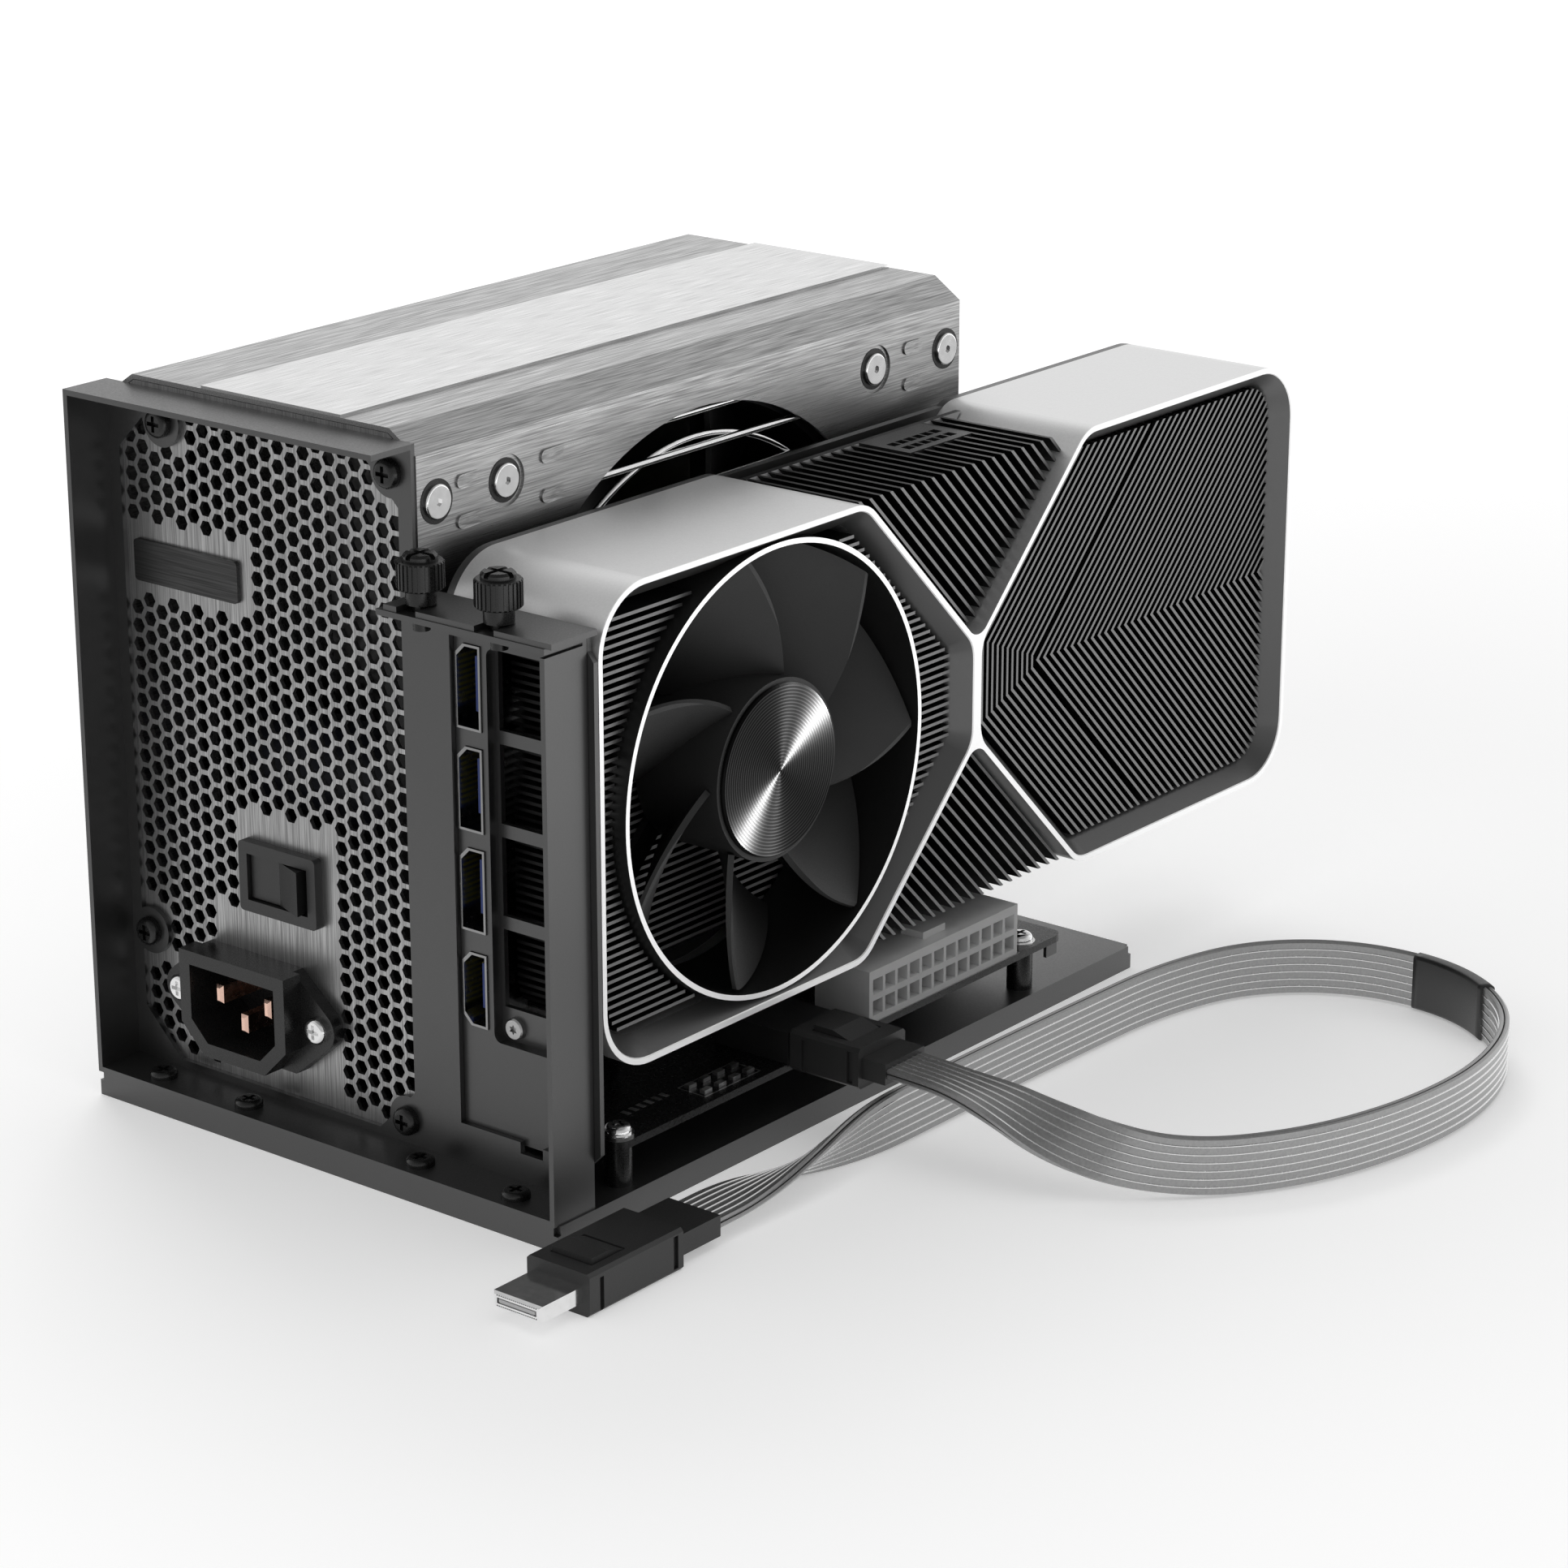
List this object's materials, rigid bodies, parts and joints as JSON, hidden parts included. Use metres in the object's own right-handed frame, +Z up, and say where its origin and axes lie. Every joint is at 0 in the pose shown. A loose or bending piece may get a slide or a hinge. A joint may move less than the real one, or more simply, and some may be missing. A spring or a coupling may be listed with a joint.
{
  "type": "external graphics card enclosure",
  "caption": "Open desktop dock: a boxed power supply and a two-slot graphics card on a riser board share a folded steel base and rear panel, with a flat data cable and plug lying beside it.",
  "frame": {"origin": "on the table, under the middle of the dock without its cable", "axes": "+X right, across the power supply towards the card's fans; +Y back, along the card away from the rear panel; +Z up"},
  "size_m": [0.2407, 0.2905, 0.1581],
  "materials": {
    "black_steel": "fine satin black paint",
    "brushed_grey": "brushed dark aluminium",
    "brushed_silver": "brushed bright sheet",
    "perforated_sheet": "brushed grey sheet with hexagonal holes",
    "silver_frame": "satin cast frame with polished edges",
    "turned_metal": "turned face with fine rings",
    "black_fins": "black coated fins",
    "black_plastic": "matte moulded plastic",
    "gloss_plastic": "smooth black plastic",
    "clear_plastic": "clear moulded plastic",
    "circuit_board": "black solder mask",
    "bright_steel": "bright plated steel",
    "black_screw": "blackened steel",
    "copper_blade": "copper coloured blades",
    "contact_blue": "dark blue contact carrier",
    "inner_metal": "plain sheet aluminium",
    "inner_wound": "taped winding",
    "inner_can": "sleeved cans",
    "ribbon": "grey ribbed ribbon",
    "sleeve": "black wrap"
  },
  "bodies": {
    "chassis": {"base_plate": "black_steel", "board_corner_clip": "black_screw", "board_screws": "bright_steel", "board_small_parts": "inner_metal", "board_standoffs": "bright_steel", "cable_ribbon": "ribbon", "cable_sleeve": "sleeve", "cable_socket": "black_plastic", "card_bracket": "black_steel", "card_bracket_screw": "black_screw", "card_circuit_board": "circuit_board", "card_fan_shroud": "black_plastic", "card_fins_bottom": "black_fins", "card_fins_left": "black_fins", "card_fins_right": "black_fins", "card_fins_top": "black_fins", "card_frame": "silver_frame", "card_port_cores": "contact_blue", "card_port_shells": "bright_steel", "card_power_socket": "black_plastic", "card_processor": "inner_metal", "card_rear_cover": "black_steel", "card_rear_fan_mount": "black_plastic", "card_slot": "black_plastic", "far_plug_body": "black_plastic", "far_plug_tongue": "bright_steel", "near_plug_body": "black_plastic", "near_plug_tongue": "bright_steel", "panel_screws": "black_screw", "power_header": "clear_plastic", "psu_capacitors": "inner_can", "psu_circuit_board": "circuit_board", "psu_cover": "brushed_grey", "psu_fan_frame": "black_plastic", "psu_fan_guard": "bright_steel", "psu_heat_sinks": "inner_metal", "psu_inlet_body": "gloss_plastic", "psu_inlet_pins": "copper_blade", "psu_inlet_screws": "bright_steel", "psu_label_plate": "black_plastic", "psu_mount_screws": "black_screw", "psu_rear_grille": "perforated_sheet", "psu_side_screws": "bright_steel", "psu_switch_frame": "black_plastic", "psu_top_panel": "brushed_silver", "psu_transformer": "inner_wound", "psu_tray": "brushed_grey", "rear_panel": "black_steel", "riser_board": "circuit_board"},
    "front_card_fan": {"card_fan_front": "black_plastic", "card_fan_cap": "turned_metal"},
    "rear_card_fan": {"card_fan_rear": "black_plastic"},
    "supply_fan": {"psu_fan_rotor": "black_plastic"},
    "power_switch": {"psu_switch_rocker": "black_plastic"},
    "left_thumb_screw": {"thumb_screw_left": "black_screw"},
    "right_thumb_screw": {"thumb_screw_right": "black_screw"},
    "card_latch": {"slot_latch": "black_plastic"},
    "near_latch": {"near_plug_latch": "black_plastic"},
    "far_latch": {"far_plug_latch": "black_plastic"}
  },
  "joints": [
    {"name": "front_fan_spin", "type": "hinge", "parent": "chassis", "child": "front_card_fan", "pos_m": [0.04485, -0.06075, 0.08275], "axis": [1, 0, 0], "continuous": true},
    {"name": "rear_fan_spin", "type": "hinge", "parent": "chassis", "child": "rear_card_fan", "pos_m": [0.03085, 0.07785, 0.08275], "axis": [1, 0, 0], "continuous": true},
    {"name": "supply_fan_spin", "type": "hinge", "parent": "chassis", "child": "supply_fan", "pos_m": [0.00485, -0.03015, 0.0815], "axis": [1, 0, 0], "continuous": true},
    {"name": "power_switch_rock", "type": "hinge", "parent": "chassis", "child": "power_switch", "pos_m": [-0.01975, -0.11815, 0.0555], "axis": [0, 0, 1], "range_deg": [0, 20]},
    {"name": "left_thumb_screw_turn", "type": "hinge", "parent": "chassis", "child": "left_thumb_screw", "pos_m": [0.02835, -0.12565, 0.1295], "axis": [0, 0, 1], "continuous": true},
    {"name": "right_thumb_screw_turn", "type": "hinge", "parent": "chassis", "child": "right_thumb_screw", "pos_m": [0.04867, -0.12565, 0.1295], "axis": [0, 0, 1], "continuous": true},
    {"name": "card_latch_swing", "type": "hinge", "parent": "chassis", "child": "card_latch", "pos_m": [0.02925, 0.01845, 0.0187], "axis": [-1, 0, 0], "range_deg": [0, 20]},
    {"name": "near_latch_press", "type": "slide", "parent": "chassis", "child": "near_latch", "axis": [0, 0, -1], "range_m": [0, 0.0008], "stiffness_N_per_m": 300},
    {"name": "far_latch_press", "type": "slide", "parent": "chassis", "child": "far_latch", "axis": [0, 0, -1], "range_m": [0, 0.0008], "stiffness_N_per_m": 300}
  ]
}
